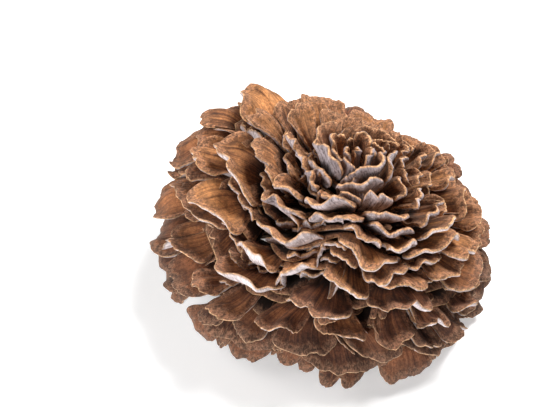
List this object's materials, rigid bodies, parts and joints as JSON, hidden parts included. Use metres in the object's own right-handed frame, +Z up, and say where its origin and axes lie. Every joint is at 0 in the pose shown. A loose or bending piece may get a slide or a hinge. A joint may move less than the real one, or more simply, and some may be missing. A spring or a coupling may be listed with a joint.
{
  "type": "maitake mushroom",
  "caption": "Maitake mushroom: a rosette of overlapping thin wavy fan caps on branching fronds round a stout stem with a flat cut base.",
  "frame": {"origin": "middle of the flat cut at the foot of the stem, on the ground it rests on", "axes": "+Z up from the cut through the crown, -Y towards the side that shows best"},
  "size_m": [0.2233, 0.2178, 0.1289],
  "materials": {
    "stem_flesh": "matt, fibrous",
    "crown_skin": "matt, velvety",
    "inner_skin": "matt, velvety",
    "upper_skin": "matt, velvety",
    "lower_skin": "matt, velvety",
    "skirt_skin": "matt, velvety"
  },
  "bodies": {
    "root": {"stem_base": "stem_flesh", "crown_frond_1": "crown_skin", "crown_frond_2": "crown_skin", "inner_frond_1": "inner_skin", "inner_frond_2": "inner_skin", "inner_frond_3": "inner_skin", "inner_frond_4": "inner_skin", "inner_frond_5": "inner_skin", "inner_frond_6": "inner_skin", "upper_frond_1": "upper_skin", "upper_frond_2": "upper_skin", "upper_frond_3": "upper_skin", "upper_frond_4": "upper_skin", "upper_frond_5": "upper_skin", "upper_frond_6": "upper_skin", "upper_frond_7": "upper_skin", "upper_frond_8": "upper_skin", "lower_frond_1": "lower_skin", "lower_frond_2": "lower_skin", "lower_frond_3": "lower_skin", "lower_frond_4": "lower_skin", "lower_frond_5": "lower_skin", "lower_frond_6": "lower_skin", "lower_frond_7": "lower_skin", "lower_frond_8": "lower_skin", "lower_frond_9": "lower_skin", "lower_frond_10": "lower_skin", "skirt_frond_1": "skirt_skin", "skirt_frond_2": "skirt_skin", "skirt_frond_3": "skirt_skin", "skirt_frond_4": "skirt_skin", "skirt_frond_5": "skirt_skin", "skirt_frond_6": "skirt_skin", "skirt_frond_7": "skirt_skin", "skirt_frond_8": "skirt_skin", "skirt_frond_9": "skirt_skin", "skirt_frond_10": "skirt_skin"}
  },
  "joints": []
}
